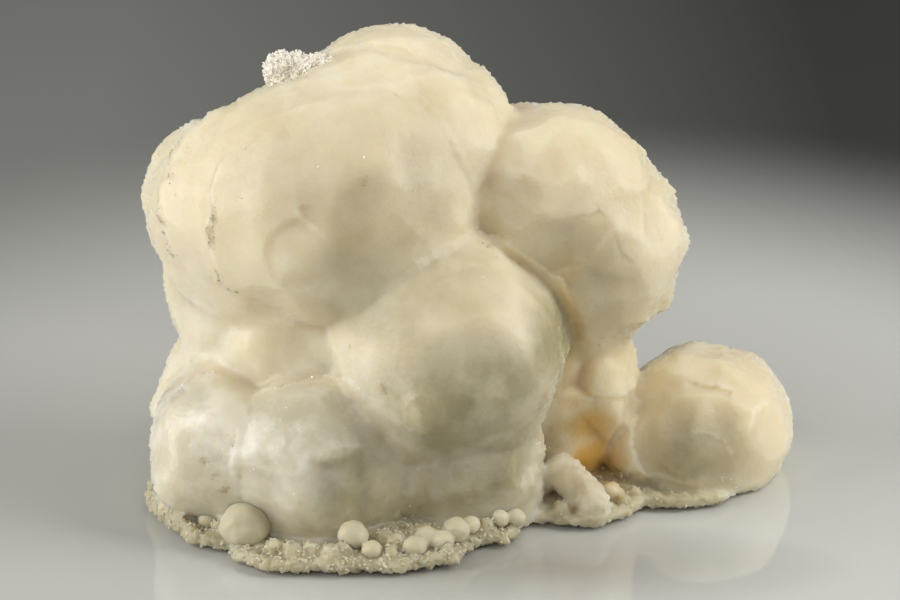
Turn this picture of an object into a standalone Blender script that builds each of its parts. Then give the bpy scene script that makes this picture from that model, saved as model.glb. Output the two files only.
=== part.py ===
"""A gyrolite specimen: pale balls of tight, overlapping blades, grown together on a thin crust.

Numbers are millimetres. X runs to the right, Y to the back and Z up. The ground is Z = 0 and the origin
lies under the middle of the whole specimen.
"""

import math
import random

import bmesh
import bpy
from mathutils import Matrix, Vector, noise

MM = 0.001

# Crust
CRUST_TOP = 2.3
CRUST_EDGE_LOW = 0.9
CRUST_EDGE_HIGH = 2.0
FOOT_INSET = 3.2
BELOW_GROUND = 1.5

# Skin of the balls
SKIN_STEP = 4.7
DOMAIN_SIZE = 7.0
DOMAIN_FLATNESS = 0.7
DOMAIN_STEP = 0.16
LUMP_HEIGHT = 0.028

# Share of the faces that stays once the slivers along the joins are gone
KEPT_SHARE = 0.87

# Every big ball: a plain name, its centre and its half widths.
BALLS = {
    "core": ((-4.5, 7.8, 23.5), (22.0, 14.0, 24.0)),
    "top": ((-11.8, 14.8, 53.3), (14.6, 13.0, 14.6)),
    "top ledge": ((-14.1, 10.3, 52.4), (13.6, 12.0, 13.8)),
    "top right": ((-3.6, 10.8, 54.3), (10.4, 11.0, 10.4)),
    "top left": ((-26.2, 11.8, 49.6), (11.4, 11.0, 11.4)),
    "upper middle": ((-17.2, 1.8, 46.0), (16.4, 16.0, 16.4)),
    "upper left": ((-29.2, 4.8, 43.0), (15.4, 14.0, 15.2)),
    "far left": ((-37.3, 11.8, 42.7), (11.2, 11.5, 11.2)),
    "left waist": ((-34.6, 8.8, 29.9), (10.0, 11.0, 11.5)),
    "saddle": ((-25.8, -0.2, 23.6), (9.0, 8.5, 9.0)),
    "left foot": ((-35.6, 5.8, 13.4), (10.4, 12.0, 11.6)),
    "front left": ((-37.1, -7.2, 10.9), (9.8, 10.0, 11.0)),
    "front middle": ((-22.1, -11.2, 10.6), (12.6, 11.0, 12.4)),
    "belly": ((-2.7, -6.2, 26.1), (16.6, 15.0, 15.6)),
    "front right": ((0.8, -6.7, 5.8), (10.4, 8.4, 10.6)),
    "right high": ((12.5, 9.8, 43.9), (13.9, 14.0, 13.9)),
    "right inner": ((7.0, 8.4, 41.2), (10.6, 10.6, 11.6)),
    "right side": ((20.1, 9.8, 38.4), (11.8, 12.7, 12.0)),
    "right low": ((17.6, 8.8, 33.9), (12.6, 12.5, 12.6)),
    "right stem": ((18.6, 10.8, 13.2), (7.2, 9.0, 10.4)),
    "single ball": ((35.3, 11.8, 5.5), (13.0, 13.5, 13.0)),
    "between feet": ((-9.6, -6.4, 7.6), (6.6, 6.4, 8.6)),
    "below stem": ((11.4, 3.2, 8.8), (8.0, 8.0, 9.4)),
    "back high": ((-27.0, 15.5, 36.5), (12.5, 10.5, 12.5)),
    "back middle": ((-7.5, 14.5, 36.0), (14.0, 12.0, 14.5)),
    "back right": ((14.5, 15.0, 25.0), (11.5, 10.5, 12.5)),
    "back low left": ((-21.5, 13.5, 14.5), (14.0, 12.5, 13.0)),
    "back low right": ((1.0, 14.5, 12.0), (12.0, 12.0, 12.0)),
}

# Small knobs on the big balls and the stub that leans forward beside the single ball.
KNOBS = {
    "chin": ((-24.1, -8.4, 44.8), (6.8, 5.8, 6.0)),
    "cheek": ((-32.1, -4.8, 41.0), (4.8, 4.2, 4.8)),
    "under chin": ((-22.8, -6.2, 35.5), (4.4, 4.0, 4.2)),
    "bud": ((-6.7, -19.6, 22.8), (1.7, 1.7, 2.1)),
    "left bud": ((-41.6, -12.6, 8.6), (3.0, 3.0, 3.0)),
    "side bud": ((-45.8, 4.5, 12.4), (1.5, 1.6, 1.6)),
    "stub root": ((14.2, -3.8, 5.2), (3.3, 3.4, 3.2)),
    "stub middle": ((15.8, -7.0, 4.6), (3.1, 3.2, 3.1)),
    "stub end": ((17.3, -10.2, 3.9), (2.7, 2.2, 2.7)),
    "stub lump": ((20.6, -5.6, 3.4), (1.7, 1.7, 1.6)),
    "stub heel": ((11.6, -6.6, 3.4), (1.9, 1.9, 1.8)),
}

# Smooth pearls that sit on the front of the crust: centre and radius.
PEARLS = [
    ((-32.5, -18.3, 3.8), 3.6),
    ((-40.9, -12.7, 3.2), 1.6),
    ((-38.0, -14.3, 3.0), 1.6),
    ((-16.9, -21.5, 3.8), 2.2),
    ((-14.1, -24.2, 2.6), 1.6),
    ((-8.1, -23.2, 2.6), 1.8),
    ((-6.4, -21.1, 3.2), 1.8),
    ((-4.2, -21.6, 2.8), 1.8),
    ((-2.1, -19.6, 3.8), 1.9),
    ((0.0, -17.2, 3.4), 1.4),
    ((4.3, -15.0, 3.4), 1.3),
    ((6.6, -14.2, 3.2), 1.4),
    ((-43.6, 13.4, 3.0), 1.8),
    ((-31.0, 21.0, 3.4), 2.3),
    ((-9.4, 23.4, 3.0), 1.7),
    ((-6.4, 24.2, 3.2), 2.0),
    ((12.4, 22.0, 3.2), 2.1),
    ((22.6, 19.4, 3.0), 1.8),
]

# Grains between the pearls: centre and size.
GRAINS = [
    ((-44.6, -7.6, 3.2), 1.5), ((-43.2, -10.6, 3.4), 1.4), ((-36.0, -17.2, 2.9), 1.4),
    ((-28.2, -23.4, 2.6), 1.4), ((-25.6, -24.6, 2.6), 1.5), ((-22.8, -24.2, 2.8), 1.3),
    ((-20.2, -25.2, 2.6), 1.4), ((-18.0, -23.6, 2.7), 1.2), ((-11.4, -25.0, 2.4), 1.3),
    ((-10.8, -21.6, 2.8), 1.4), ((-12.4, -19.8, 2.8), 1.2), ((-3.2, -23.6, 2.2), 1.2),
    ((2.2, -16.4, 2.9), 1.3), ((8.6, -9.6, 3.0), 1.6), ((10.2, -4.6, 3.8), 1.9),
    ((13.4, -10.2, 2.6), 1.4), ((20.4, -9.0, 2.7), 1.4), ((22.6, -6.4, 3.0), 1.5),
    ((24.6, -2.4, 3.0), 1.4), ((25.4, 3.6, 3.2), 1.7),
]

# White tuft on the top left ball: lumps that reach the tips of its blades.
TUFT = [
    ((-27.9, 13.6, 62.6), (2.6, 2.3, 3.6)),
    ((-25.6, 13.4, 62.9), (2.3, 2.2, 3.0)),
    ((-23.2, 13.0, 61.9), (2.4, 2.0, 2.3)),
    ((-20.9, 12.4, 61.3), (2.2, 1.9, 2.0)),
]

# Flaked patches, where the outer skin of a ball is gone and its torn edge stands as a low ledge.
# Each has the balls it runs over, a point it is measured from and its outline around that point, seen
# from the front and a little above.
FLAKE_DEPTH = 0.55
FLAKE_TILT = 22.0
FLAKES = {
    "belly flake": (
        ["belly"], (-2.7, -6.2, 26.1),
        [(-11.6, -4.3), (-11.6, 0.2), (-7.5, 2.9), (-1.7, 5.1), (5.5, 4.6), (9.8, 0.7), (12.0, -3.6),
         (11.3, -6.5), (5.8, -8.7), (0.0, -7.2), (-5.8, -7.0)],
    ),
    "single ball flake": (
        ["single ball"], (35.3, 11.8, 5.5),
        [(-9.2, 8.4), (-5.8, 9.0), (-2.0, 7.5), (1.6, 7.0), (4.5, 6.1), (5.2, 0.7), (5.8, -2.2),
         (6.7, -4.6), (4.6, -6.4), (-2.9, -7.2), (-8.7, -6.4), (-10.9, -2.9), (-10.1, 2.9)],
    ),
    "right flake": (
        ["right high", "right inner", "right side", "right low"], (17.6, 8.8, 33.9),
        [(-17.5, 10.5), (-13.1, 13.7), (-9.5, 13.1), (-7.3, 10.5), (-5.8, 6.9), (-1.5, 6.7), (1.5, 7.9),
         (4.1, 3.9), (5.1, 1.0), (7.3, -0.9), (8.8, -5.3), (7.1, -9.0), (1.5, -11.0), (-4.4, -9.9),
         (-10.2, -4.1), (-14.6, 1.8), (-17.5, 5.4)],
    ),
    "upper flake": (
        ["upper middle"], (-17.2, 1.8, 46.0),
        [(-7.6, -1.2), (-5.0, 0.6), (-1.8, 2.9), (0.0, 5.1), (2.9, 3.8), (4.8, 1.0), (7.0, -1.5),
         (12.8, -2.6), (15.6, -3.2), (15.1, -6.3), (11.4, -8.8), (5.5, -12.1), (-1.0, -13.4), (-3.2, -9.9),
         (-2.5, -5.5), (-7.6, -4.8)],
    ),
}

# Broken face of the front middle ball, cut nearly upright in steps, as seen from above.
BREAK_PLAN = [
    (-24.8, -22.6), (-21.5, -20.3), (-17.2, -19.7), (-16.6, -18.3), (-12.6, -17.3), (-12.0, -15.9),
    (-7.0, -13.2), (-6.0, -30.0), (-26.0, -30.0),
]
BREAK_LOW = 2.5
BREAK_HIGH_LEFT = 14.4
BREAK_HIGH_RIGHT = 17.2

# Outline of the crust, from the left tip around the front, the right and the back.
OUTLINE = [
    (-47.7, -6.0), (-45.7, -11.0), (-42.7, -15.0), (-40.7, -18.6), (-38.0, -19.6), (-34.9, -20.4),
    (-33.5, -24.0), (-30.0, -27.0), (-26.7, -28.0), (-22.7, -27.3), (-18.7, -28.2), (-14.7, -27.2),
    (-10.7, -28.0), (-7.2, -26.6), (-1.9, -25.2), (-0.1, -20.2), (2.0, -18.4), (5.2, -18.3),
    (6.7, -16.2), (7.6, -12.6), (9.6, -11.2), (12.0, -11.3), (14.6, -12.6), (18.9, -12.6),
    (21.4, -10.3), (23.4, -8.9), (25.6, -5.6), (28.6, -6.2), (32.5, -6.0), (37.2, -4.4),
    (41.6, -2.2), (45.4, 1.6), (48.0, 5.8), (48.9, 11.0), (48.0, 16.5), (45.0, 21.4),
    (40.2, 24.8), (34.5, 25.8), (29.2, 23.6), (24.0, 21.2), (18.0, 22.6), (11.0, 24.4),
    (5.0, 26.6), (-1.5, 27.4), (-8.5, 25.4), (-15.0, 26.4), (-22.0, 27.2), (-28.5, 24.6), (-34.5, 20.6),
    (-40.5, 18.6), (-44.8, 13.6), (-46.2, 6.2), (-47.6, 0.0),
]


def ball_directions(count):
    """Directions spread evenly over a sphere, along a spiral."""
    turn = math.pi * (3.0 - math.sqrt(5.0))
    found = []
    for i in range(count):
        z = 1.0 - (2.0 * i + 1.0) / count
        flat = math.sqrt(1.0 - z * z)
        found.append(Vector((flat * math.cos(turn * i), flat * math.sin(turn * i), z)))
    return found


def new_object(name, bm):
    bmesh.ops.recalc_face_normals(bm, faces=bm.faces)
    mesh = bpy.data.meshes.new(name)
    bm.to_mesh(mesh)
    bm.free()
    thing = bpy.data.objects.new(name, mesh)
    bpy.context.scene.collection.objects.link(thing)
    return thing


def ball(name, centre, half, seed, step=SKIN_STEP, fewest=60):
    """A ball with a skin of slightly flattened patches, each a little higher or lower than the next."""
    dice = random.Random(seed)
    size = sum(half) / 3.0
    area = 4.0 * math.pi * size * size
    count = max(fewest, int(area / (0.8 * step * step)))
    patch = min(DOMAIN_SIZE, 0.8 * size)
    step_height = DOMAIN_STEP * patch / DOMAIN_SIZE
    axes = []
    for _ in range(int(area / patch ** 2)):
        axis = Vector((dice.gauss(0, 1), dice.gauss(0, 1), dice.gauss(0, 1))).normalized()
        axes.append((axis, dice.uniform(-step_height, step_height)))
    low = math.cos(0.5 * patch / size)
    shift = Vector((dice.uniform(-50, 50), dice.uniform(-50, 50), dice.uniform(-50, 50)))
    bm = bmesh.new()
    directions = ball_directions(count)
    tilt = Matrix.Rotation(dice.uniform(0, 6.28), 3, Vector((1.0, 0.3, 0.2)).normalized())
    for direction in directions:
        bm.verts.new(tilt @ direction)
    bmesh.ops.convex_hull(bm, input=bm.verts)
    for vertex in bm.verts:
        u = vertex.co.normalized()
        axis, height = max(axes, key=lambda pair: u.dot(pair[0]))
        plane = low / max(u.dot(axis), 0.6)
        reach = 1.0 + DOMAIN_FLATNESS * (min(plane, 1.03) - 1.0) + height / size
        reach += LUMP_HEIGHT * noise.noise(u * 1.9 + shift)
        vertex.co = Vector((
            (centre[0] + half[0] * reach * u.x) * MM,
            (centre[1] + half[1] * reach * u.y) * MM,
            (centre[2] + half[2] * reach * u.z) * MM,
        ))
    return new_object(name, bm)


def crystal(name, centre, size, seed):
    """A small blocky crystal with flat faces, in any position."""
    dice = random.Random(seed)
    bm = bmesh.new()
    for x, y, z in ((1, 0, 0), (-1, 0, 0), (0, 1, 0), (0, -1, 0), (0, 0, 1), (0, 0, -1)):
        long = dice.uniform(0.75, 1.2)
        bm.verts.new(Vector((x, y, z)) * long * size)
    bmesh.ops.convex_hull(bm, input=bm.verts)
    axis = Vector((dice.random(), dice.random(), 0.4)).normalized()
    turn = Matrix.Rotation(dice.uniform(0, 6.28), 4, axis)
    move = Matrix.Translation(Vector(centre) * MM) @ turn @ Matrix.Scale(MM, 4)
    bmesh.ops.transform(bm, matrix=move, verts=bm.verts)
    return new_object(name, bm)


def prism(name, points, along):
    """A straight bar whose end is the polygon of the points."""
    bm = bmesh.new()
    near = [bm.verts.new(Vector(point) * MM) for point in points]
    far = [bm.verts.new((Vector(point) + Vector(along)) * MM) for point in points]
    count = len(points)
    for i in range(count):
        j = (i + 1) % count
        bm.faces.new((near[i], near[j], far[j], far[i]))
    bm.faces.new(near)
    bm.faces.new(far)
    bmesh.ops.triangulate(bm, faces=bm.faces)
    return new_object(name, bm)


def flake_cutter(name, origin, outline):
    """A bar along the line of sight, from the middle of a ball out through its skin."""
    tilt = math.radians(FLAKE_TILT)
    up = Vector((0.0, math.sin(tilt), math.cos(tilt)))
    out = Vector((0.0, -math.cos(tilt), math.sin(tilt)))
    start = Vector(origin)
    points = [start + Vector((x, 0.0, 0.0)) + up * y for x, y in outline]
    return prism(name, points, out * 40.0)


def break_cutter():
    """A stepped bar that takes the lower front off the front middle ball. Its top rises to the right."""
    plan = [(x, y, BREAK_LOW) for x, y in BREAK_PLAN]
    cutter = prism("break", plan, (0.0, 0.0, BREAK_HIGH_LEFT - BREAK_LOW))
    for vertex in cutter.data.vertices:
        if vertex.co.z > 0.5 * (BREAK_LOW + BREAK_HIGH_LEFT) * MM:
            share = (vertex.co.x / MM + 26.0) / 20.0
            vertex.co.z += share * (BREAK_HIGH_RIGHT - BREAK_HIGH_LEFT) * MM
    return cutter


def ring_offset(points, inset):
    """The outline moved inwards by an inset, along the mean normal of the two sides at each corner."""
    moved = []
    for i, (x, y) in enumerate(points):
        ax, ay = points[i - 1]
        bx, by = points[(i + 1) % len(points)]
        along = Vector((bx - ax, by - ay)).normalized()
        moved.append((x - along.y * inset, y + along.x * inset))
    return moved


def closer(points, roughness):
    """An outline's corners and steps between them, finer at the front, each pushed in or out a little."""
    dice = random.Random(8)
    found = []
    for i, (x, y) in enumerate(points):
        ax, ay = points[(i + 1) % len(points)]
        bx, by = OUTLINE[i]
        cx, cy = OUTLINE[(i + 1) % len(points)]
        pieces = max(1, round(math.hypot(cx - bx, cy - by) / (2.4 if by < 6.0 else 5.0)))
        along = Vector((ax - x, ay - y)).normalized()
        for k in range(pieces):
            t = k / pieces
            push = dice.uniform(-roughness, roughness)
            found.append((x + (ax - x) * t + along.y * push, y + (ay - y) * t - along.x * push))
    return found


def crust():
    """The thin crust under everything: a plate with a grainy edge that stands clear of the ground."""
    dice = random.Random(5)
    outline = closer(OUTLINE, 0.35)
    foot = closer(ring_offset(OUTLINE, FOOT_INSET), 0.0)
    inner = closer(ring_offset(OUTLINE, 2.0), 0.0)
    lows = []
    highs = []
    crests = []
    for x, y in outline:
        left = max(0.0, min(1.0, (-36.0 - x) / 8.0)) * max(0.0, min(1.0, (4.0 - y) / 6.0))
        lows.append(CRUST_EDGE_LOW + 0.5 * left + dice.uniform(-0.25, 0.3))
        highs.append(CRUST_EDGE_HIGH + 1.3 * left + dice.uniform(-0.35, 0.35))
        crests.append(CRUST_TOP + 1.5 * left + dice.uniform(-0.1, 1.0))
    rings = [
        (foot, [-BELOW_GROUND] * len(outline)),
        (foot, [0.25] * len(outline)),
        (outline, lows),
        (closer(ring_offset(OUTLINE, 0.2), 0.3), highs),
        (closer(ring_offset(OUTLINE, 1.0), 0.25), crests),
        (inner, [CRUST_TOP - 0.2] * len(outline)),
    ]
    bm = bmesh.new()
    made = []
    for points, heights in rings:
        made.append([bm.verts.new(Vector((x, y, z)) * MM) for (x, y), z in zip(points, heights)])
    count = len(outline)
    for lower, upper in zip(made, made[1:]):
        for i in range(count):
            j = (i + 1) % count
            bm.faces.new((lower[i], lower[j], upper[j], upper[i]))
    bm.faces.new(list(reversed(made[0])))
    bm.faces.new(made[-1])
    bmesh.ops.triangulate(bm, faces=bm.faces)
    return new_object("crust", bm)


def joined(base, others):
    """One solid from a base and everything grown onto it."""
    group = bpy.data.collections.new("grown on")
    bpy.context.scene.collection.children.link(group)
    for other in others:
        bpy.context.scene.collection.objects.unlink(other)
        group.objects.link(other)
    union = base.modifiers.new("grown together", "BOOLEAN")
    union.operation = "UNION"
    union.solver = "EXACT"
    union.operand_type = "COLLECTION"
    union.collection = group
    settle(base)
    for other in others:
        bpy.data.objects.remove(other, do_unlink=True)
    bpy.data.collections.remove(group)


def carved(base, cutter):
    cut = base.modifiers.new("carved", "BOOLEAN")
    cut.operation = "DIFFERENCE"
    cut.solver = "EXACT"
    cut.object = cutter
    settle(base)
    bpy.data.objects.remove(cutter, do_unlink=True)


def settle(thing):
    """Turns an object's modifiers into its own mesh."""
    graph = bpy.context.evaluated_depsgraph_get()
    graph.update()
    shaped = bpy.data.meshes.new_from_object(thing.evaluated_get(graph))
    thing.modifiers.clear()
    thing.data = shaped


def filled(thing):
    """Closes the hollows left between grown-together balls: only the outer skin stays."""
    bm = bmesh.new()
    bm.from_mesh(thing.data)
    left = set(bm.verts)
    skins = []
    while left:
        reach = [left.pop()]
        skin = set(reach)
        while reach:
            vertex = reach.pop()
            for edge in vertex.link_edges:
                other = edge.other_vert(vertex)
                if other in left:
                    left.discard(other)
                    skin.add(other)
                    reach.append(other)
        skins.append(skin)
    outer = max(skins, key=len)
    inner = [vertex for skin in skins if skin is not outer for vertex in skin]
    bmesh.ops.delete(bm, geom=inner, context="VERTS")
    bmesh.ops.triangulate(bm, faces=bm.faces)
    bm.to_mesh(thing.data)
    bm.free()


def box(name, low, high):
    bm = bmesh.new()
    bmesh.ops.create_cube(bm, size=1.0)
    for vertex in bm.verts:
        for axis in range(3):
            middle = 0.5 * (low[axis] + high[axis])
            vertex.co[axis] = (middle + vertex.co[axis] * (high[axis] - low[axis])) * MM
    return new_object(name, bm)


for thing in list(bpy.data.objects):
    bpy.data.objects.remove(thing, do_unlink=True)

grown = []
flaked = {name: flake for flake, (names, _, _) in FLAKES.items() for name in names}
for number, (name, (centre, half)) in enumerate(BALLS.items()):
    skin = ball(name, centre, half, 100 + number)
    if name in flaked:
        _, origin, outline = FLAKES[flaked[name]]
        carved(skin, flake_cutter(name, origin, outline))
        under = tuple(side - FLAKE_DEPTH for side in half)
        grown.append(ball(name + " underneath", centre, under, 100 + number, step=6.0))
    if name == "front middle":
        carved(skin, break_cutter())
    grown.append(skin)
for number, (name, (centre, half)) in enumerate(KNOBS.items()):
    grown.append(ball(name, centre, half, 200 + number, step=2.8, fewest=30))
for number, (centre, radius) in enumerate(PEARLS):
    grown.append(ball("pearl", centre, (radius,) * 3, 300 + number, step=2.2, fewest=22))
for number, (centre, half) in enumerate(TUFT):
    grown.append(ball("tuft", centre, half, 400 + number, step=2.2, fewest=22))
for number, (centre, size) in enumerate(GRAINS):
    grown.append(crystal("grain", centre, size, 600 + number))
grown.append(crust())

specimen = grown[0]
joined(specimen, grown[1:])
filled(specimen)
thin = specimen.modifiers.new("fewer faces", "DECIMATE")
thin.ratio = KEPT_SHARE
settle(specimen)
carved(specimen, box("ground", (-80.0, -80.0, -40.0), (80.0, 80.0, 0.0)))
filled(specimen)

specimen.name = "gyrolite_cluster"
specimen.data.name = "gyrolite_cluster"
for polygon in specimen.data.polygons:
    polygon.use_smooth = True

stone = bpy.data.materials.new("gyrolite")
stone.use_nodes = True
shader = stone.node_tree.nodes["Principled BSDF"]
shader.inputs["Base Color"].default_value = (0.78, 0.70, 0.52, 1.0)
shader.inputs["Roughness"].default_value = 0.5
specimen.data.materials.clear()
specimen.data.materials.append(stone)
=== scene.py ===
# %% [markdown]
# # A cluster of gyrolite balls
# Gyrolite grows as very thin blades that fan out from one point. The fans are packed so tightly that each
# one ends as a ball with a waxy skin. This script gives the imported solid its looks: a smooth, glowing
# stone skin, torn patches where the skin has flaked, and a crust of small glassy grains below.

# %% Load the solid frame
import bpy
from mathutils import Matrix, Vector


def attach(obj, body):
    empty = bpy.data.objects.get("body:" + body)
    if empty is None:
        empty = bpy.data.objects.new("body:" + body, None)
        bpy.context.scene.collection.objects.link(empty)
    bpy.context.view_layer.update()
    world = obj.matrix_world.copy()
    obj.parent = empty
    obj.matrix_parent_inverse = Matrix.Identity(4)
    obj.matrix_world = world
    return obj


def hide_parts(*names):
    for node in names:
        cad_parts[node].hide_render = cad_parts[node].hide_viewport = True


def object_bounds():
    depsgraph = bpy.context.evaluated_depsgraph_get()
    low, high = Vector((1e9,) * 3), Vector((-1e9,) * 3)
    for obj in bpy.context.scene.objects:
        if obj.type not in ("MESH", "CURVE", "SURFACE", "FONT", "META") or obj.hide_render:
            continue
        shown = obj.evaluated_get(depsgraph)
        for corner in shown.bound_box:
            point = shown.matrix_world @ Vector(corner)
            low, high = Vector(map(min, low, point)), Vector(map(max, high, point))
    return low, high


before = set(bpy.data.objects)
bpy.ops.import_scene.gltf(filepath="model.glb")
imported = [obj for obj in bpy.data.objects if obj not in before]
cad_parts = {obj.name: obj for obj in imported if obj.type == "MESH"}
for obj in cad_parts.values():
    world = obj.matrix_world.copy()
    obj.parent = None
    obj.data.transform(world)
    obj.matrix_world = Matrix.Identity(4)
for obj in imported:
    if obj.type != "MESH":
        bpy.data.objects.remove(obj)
solid_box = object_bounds()
print("solid from", [round(v, 4) for v in solid_box[0]], "to", [round(v, 4) for v in solid_box[1]])

# %% Other modules
import math
import random

import bmesh
import bpy
import numpy as np
from mathutils import Vector, noise

MM = 0.001

# %% [markdown]
# ## Where each ball sits
# The real specimen is some thirty balls grown into each other. Each is kept here as a centre and three
# half widths, in millimetres, so that any of them can be moved by changing one line. The small knobs, the
# pearls on the crust and the white tuft are kept the same way.

# %% The balls
BALLS = {
    "core": ((-4.5, 7.8, 23.5), (22.0, 14.0, 24.0)),
    "top": ((-11.8, 14.8, 53.3), (14.6, 13.0, 14.6)),
    "top ledge": ((-14.1, 10.3, 52.4), (13.6, 12.0, 13.8)),
    "top right": ((-4.0, 10.4, 53.6), (10.2, 11.0, 10.2)),
    "top left": ((-26.0, 11.4, 49.0), (11.2, 11.0, 11.2)),
    "upper middle": ((-17.2, 1.8, 46.0), (16.4, 16.0, 16.4)),
    "upper left": ((-29.2, 4.8, 43.0), (15.4, 14.0, 15.2)),
    "far left": ((-37.3, 11.8, 42.7), (11.2, 11.5, 11.2)),
    "upper broad": ((-23.5, 2.8, 45.2), (17.5, 15.4, 16.4)),
    "left waist": ((-34.6, 8.8, 29.9), (10.0, 11.0, 11.5)),
    "saddle": ((-25.8, -0.2, 23.6), (9.0, 8.5, 9.0)),
    "left foot": ((-35.6, 5.8, 13.4), (10.4, 12.0, 11.6)),
    "front left": ((-37.1, -7.2, 10.9), (9.8, 10.0, 11.0)),
    "front middle": ((-22.1, -11.2, 10.6), (12.6, 11.0, 12.4)),
    "belly": ((-2.7, -6.2, 26.1), (16.6, 15.0, 15.6)),
    "front right": ((0.8, -6.7, 5.8), (10.4, 8.4, 10.6)),
    "right high": ((12.5, 9.8, 43.9), (13.9, 14.0, 13.9)),
    "right inner": ((7.0, 8.4, 41.2), (10.6, 10.6, 11.6)),
    "right side": ((19.5, 9.8, 38.8), (11.3, 12.7, 11.9)),
    "right low": ((17.6, 8.8, 33.9), (12.6, 12.5, 12.6)),
    "right stem": ((18.8, 10.4, 14.6), (6.2, 8.4, 9.6)),
    "single ball": ((35.3, 11.8, 6.3), (13.2, 16.0, 12.0)),
    "stem left": ((14.2, 9.6, 17.5), (6.0, 6.0, 10.0)),
    "between feet": ((-9.6, -6.4, 7.6), (6.6, 6.4, 8.6)),
    "below stem": ((12.6, 6.8, 7.6), (7.6, 7.4, 8.6)),
    "back high": ((-27.0, 15.5, 36.5), (12.5, 10.5, 12.5)),
    "back middle": ((-7.5, 14.5, 36.0), (14.0, 12.0, 14.5)),
    "back right": ((14.0, 15.0, 25.0), (10.8, 10.5, 12.5)),
    "back low left": ((-21.5, 13.5, 14.5), (14.0, 12.5, 13.0)),
    "back low right": ((1.0, 14.5, 12.0), (12.0, 12.0, 12.0)),
}

# Small knobs on the big balls and the stub that leans forward beside the single ball.
KNOBS = {
    "chin": ((-23.2, -10.2, 44.4), (5.2, 5.0, 4.9)),
    "cheek": ((-32.1, -4.8, 41.0), (4.8, 4.2, 4.8)),
    "under chin": ((-22.4, -7.4, 36.6), (3.7, 3.8, 3.5)),
    "bud": ((-6.7, -20.9, 22.8), (1.7, 1.7, 2.2)),
    "left bud": ((-41.6, -12.6, 8.6), (3.0, 3.0, 3.0)),
    "side bud": ((-45.8, 4.5, 12.4), (1.5, 1.6, 1.6)),
    "stub root": ((13.4, -3.6, 5.6), (2.7, 2.8, 2.6)),
    "stub middle": ((15.8, -7.2, 4.8), (2.6, 2.6, 2.6)),
    "stub end": ((17.9, -10.4, 3.9), (2.4, 2.0, 2.4)),
    "stub lump": ((20.6, -5.6, 3.4), (1.7, 1.7, 1.6)),
}

# Smooth pearls that sit on the front of the crust: centre and radius.
PEARLS = [
    ((-32.5, -18.3, 3.8), 3.6),
    ((-40.9, -12.7, 3.2), 1.6),
    ((-38.0, -14.3, 3.0), 1.6),
    ((-16.9, -21.5, 3.8), 2.2),
    ((-14.1, -24.2, 2.6), 1.6),
    ((-8.1, -23.2, 2.6), 1.8),
    ((-6.4, -21.1, 3.2), 1.8),
    ((-4.2, -21.6, 2.8), 1.8),
    ((-2.1, -19.6, 3.8), 1.9),
    ((0.0, -17.2, 3.4), 1.4),
    ((4.3, -15.0, 3.4), 1.3),
    ((6.6, -14.2, 3.2), 1.4),
    ((-43.6, 13.4, 3.0), 1.8),
    ((-31.0, 21.0, 3.4), 2.3),
    ((-9.4, 23.4, 3.0), 1.7),
    ((-6.4, 24.2, 3.2), 2.0),
    ((12.4, 22.0, 3.2), 2.1),
    ((22.6, 19.4, 3.0), 1.8),
]

# Grains between the pearls: centre and size.
GRAINS = [
    ((-44.6, -7.6, 3.2), 1.5), ((-43.2, -10.6, 3.4), 1.4), ((-36.0, -17.2, 2.9), 1.4),
    ((-28.2, -23.4, 2.6), 1.4), ((-25.6, -24.6, 2.6), 1.5), ((-22.8, -24.2, 2.8), 1.3),
    ((-20.2, -25.2, 2.6), 1.4), ((-18.0, -23.6, 2.7), 1.2), ((-11.4, -25.0, 2.4), 1.3),
    ((-10.8, -21.6, 2.8), 1.4), ((-12.4, -19.8, 2.8), 1.2), ((-3.2, -23.6, 2.2), 1.2),
    ((2.2, -16.4, 2.9), 1.3), ((8.6, -9.6, 3.0), 1.6), ((10.2, -4.6, 3.8), 1.9),
    ((13.4, -10.2, 2.6), 1.4), ((20.4, -9.0, 2.4), 0.9), ((22.4, -6.6, 2.6), 1.0),
    ((24.2, -3.6, 2.6), 0.9), ((21.6, -4.4, 2.8), 0.8),
]

# White tuft on the top left ball: lumps that reach the tips of its blades.
TUFT = [
    ((-27.6, 13.4, 61.9), (2.5, 2.3, 3.4)),
    ((-25.3, 13.2, 62.1), (2.2, 2.2, 2.9)),
    ((-22.2, 10.3, 63.6), (2.1, 1.9, 2.1)),
    ((-20.2, 8.4, 63.8), (1.6, 1.6, 1.5)),
]

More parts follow.
